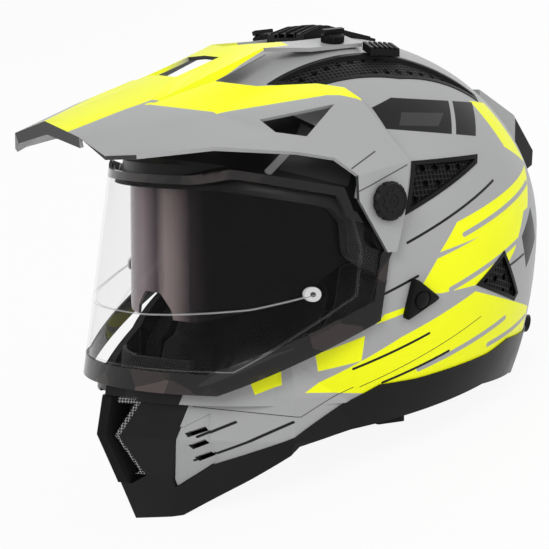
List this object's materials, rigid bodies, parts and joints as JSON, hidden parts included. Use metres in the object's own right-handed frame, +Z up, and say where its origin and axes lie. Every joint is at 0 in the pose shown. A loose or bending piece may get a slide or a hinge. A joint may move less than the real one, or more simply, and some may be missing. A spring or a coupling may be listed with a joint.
{
  "type": "dual sport helmet",
  "caption": "Full-face dual sport helmet with an adjustable peak, hinged clear shield, drop-down sun visor, chin and crown vents, padded liner and buckled chin strap.",
  "frame": {"origin": "centre of the bounding box, on the plane the helmet rests on", "axes": "+Z up, -Y the way the wearer looks, +X the wearer's left; the helmet rests on chin and rear rim, so its own level is tipped 17 degrees up at the front"},
  "size_m": [0.2732, 0.3752, 0.2682],
  "materials": {
    "shell_paint": "satin light grey paint",
    "spoiler_plastic": "satin light grey paint",
    "trim_plastic": "dark grey satin plastic",
    "black_plastic": "black moulded plastic",
    "knob_grey": "dark grey moulded plastic",
    "pale_screen": "pale grey perforated plastic",
    "vent_screen": "black perforated plastic",
    "gasket_rubber": "matt black rubber",
    "clear_lens": "clear polished polycarbonate",
    "smoked_lens": "smoked polished polycarbonate",
    "liner_foam": "dark expanded foam",
    "liner_fabric": "dark grey brushed fabric",
    "strap_webbing": "black woven webbing",
    "buckle_plastic": "black gloss plastic",
    "steel": "brushed steel"
  },
  "bodies": {
    "helmet": {"bottom_trim": "trim_plastic", "breath_guard": "gasket_rubber", "buckle_base": "steel", "cheek_foam_left": "liner_foam", "cheek_foam_right": "liner_foam", "cheek_pad_left": "liner_fabric", "cheek_pad_right": "liner_fabric", "chin_curtain": "liner_fabric", "chin_foam": "liner_foam", "chin_housing": "trim_plastic", "chin_strap_left": "strap_webbing", "chin_strap_right": "strap_webbing", "chin_vent_screens": "pale_screen", "chin_vent_spine": "black_plastic", "crown_pad": "liner_fabric", "crown_scoop": "black_plastic", "crown_vent_frame_left": "black_plastic", "crown_vent_frame_right": "black_plastic", "crown_vent_screen_left": "vent_screen", "crown_vent_screen_right": "vent_screen", "eyeport_gasket": "gasket_rubber", "gill_louvre_left": "shell_paint", "gill_louvre_right": "shell_paint", "impact_foam": "liner_foam", "neck_roll": "liner_fabric", "outer_shell": "shell_paint", "rear_clips": "black_plastic", "rear_spoiler": "spoiler_plastic", "rear_vent_frame_left": "black_plastic", "rear_vent_frame_right": "black_plastic", "rear_vent_screen_left": "vent_screen", "rear_vent_screen_right": "vent_screen", "shield_pivots": "black_plastic", "strap_cap_left": "black_plastic", "strap_cap_right": "black_plastic", "strap_rivets": "steel", "temple_vent_frame_left": "black_plastic", "temple_vent_frame_right": "black_plastic", "temple_vent_screen_left": "vent_screen", "temple_vent_screen_right": "vent_screen", "visor_lever_rail": "black_plastic", "visor_pins": "black_plastic"},
    "peak": {"peak": "shell_paint"},
    "crown_screw_left": {"crown_screw_left": "black_plastic"},
    "crown_screw_right": {"crown_screw_right": "black_plastic"},
    "peak_knob_left": {"peak_knob_left": "knob_grey"},
    "peak_knob_right": {"peak_knob_right": "knob_grey"},
    "shield": {"shield": "clear_lens", "insert_pins": "black_plastic"},
    "sun_visor": {"sun_visor": "smoked_lens"},
    "visor_lever": {"visor_lever": "black_plastic"},
    "chin_vent_shutter": {"chin_vent_shutter": "black_plastic"},
    "vent_slider_left": {"vent_slider_left": "black_plastic"},
    "vent_slider_right": {"vent_slider_right": "black_plastic"},
    "buckle_lever": {"buckle_lever": "buckle_plastic"}
  },
  "joints": [
    {"name": "peak_tilt", "type": "hinge", "parent": "helmet", "child": "peak", "pos_m": [0, -0.02123, 0.16972], "axis": [1, 0, 0], "range_deg": [0, 3.5]},
    {"name": "crown_screw_turn_left", "type": "hinge", "parent": "peak", "child": "crown_screw_left", "pos_m": [0.0375, 0.0327, 0.25035], "axis": [0.2174, 0.183, 0.9588], "range_deg": [0, 180]},
    {"name": "crown_screw_turn_right", "type": "hinge", "parent": "peak", "child": "crown_screw_right", "pos_m": [-0.0375, 0.0327, 0.25035], "axis": [-0.2174, 0.183, 0.9588], "range_deg": [0, 180]},
    {"name": "peak_knob_turn_left", "type": "hinge", "parent": "helmet", "child": "peak_knob_left", "pos_m": [0.13, -0.02123, 0.16972], "axis": [1, 0, 0], "range_deg": [0, 180]},
    {"name": "peak_knob_turn_right", "type": "hinge", "parent": "helmet", "child": "peak_knob_right", "pos_m": [-0.13, -0.02123, 0.16972], "axis": [-1, 0, 0], "range_deg": [0, 180]},
    {"name": "shield_lift", "type": "hinge", "parent": "helmet", "child": "shield", "pos_m": [0, -0.02766, 0.14868], "axis": [-1, 0, 0], "range_deg": [0, 24]},
    {"name": "sun_visor_lift", "type": "hinge", "parent": "helmet", "child": "sun_visor", "pos_m": [0, -0.02766, 0.14868], "axis": [-1, 0, 0], "range_deg": [0, 34]},
    {"name": "visor_lever_slide", "type": "slide", "parent": "helmet", "child": "visor_lever", "axis": [0, 0.9563, -0.2924], "range_m": [0, 0.0175]},
    {"name": "chin_shutter_slide", "type": "slide", "parent": "helmet", "child": "chin_vent_shutter", "axis": [0, -0.4422, -0.8969], "range_m": [0, 0.006]},
    {"name": "crown_vent_slide_left", "type": "slide", "parent": "helmet", "child": "vent_slider_left", "axis": [0, 0.9563, -0.2924], "range_m": [-0.004, 0.004]},
    {"name": "crown_vent_slide_right", "type": "slide", "parent": "helmet", "child": "vent_slider_right", "axis": [0, 0.9563, -0.2924], "range_m": [-0.004, 0.004]},
    {"name": "buckle_release", "type": "hinge", "parent": "helmet", "child": "buckle_lever", "pos_m": [-0.017, -0.08726, 0.02134], "axis": [0, 0.9563, -0.2924], "range_deg": [0, 25]}
  ],
  "couplings": [
    {"joint": "visor_lever_slide", "follows": "sun_visor_lift", "m_per_rad": 0.02946}
  ]
}
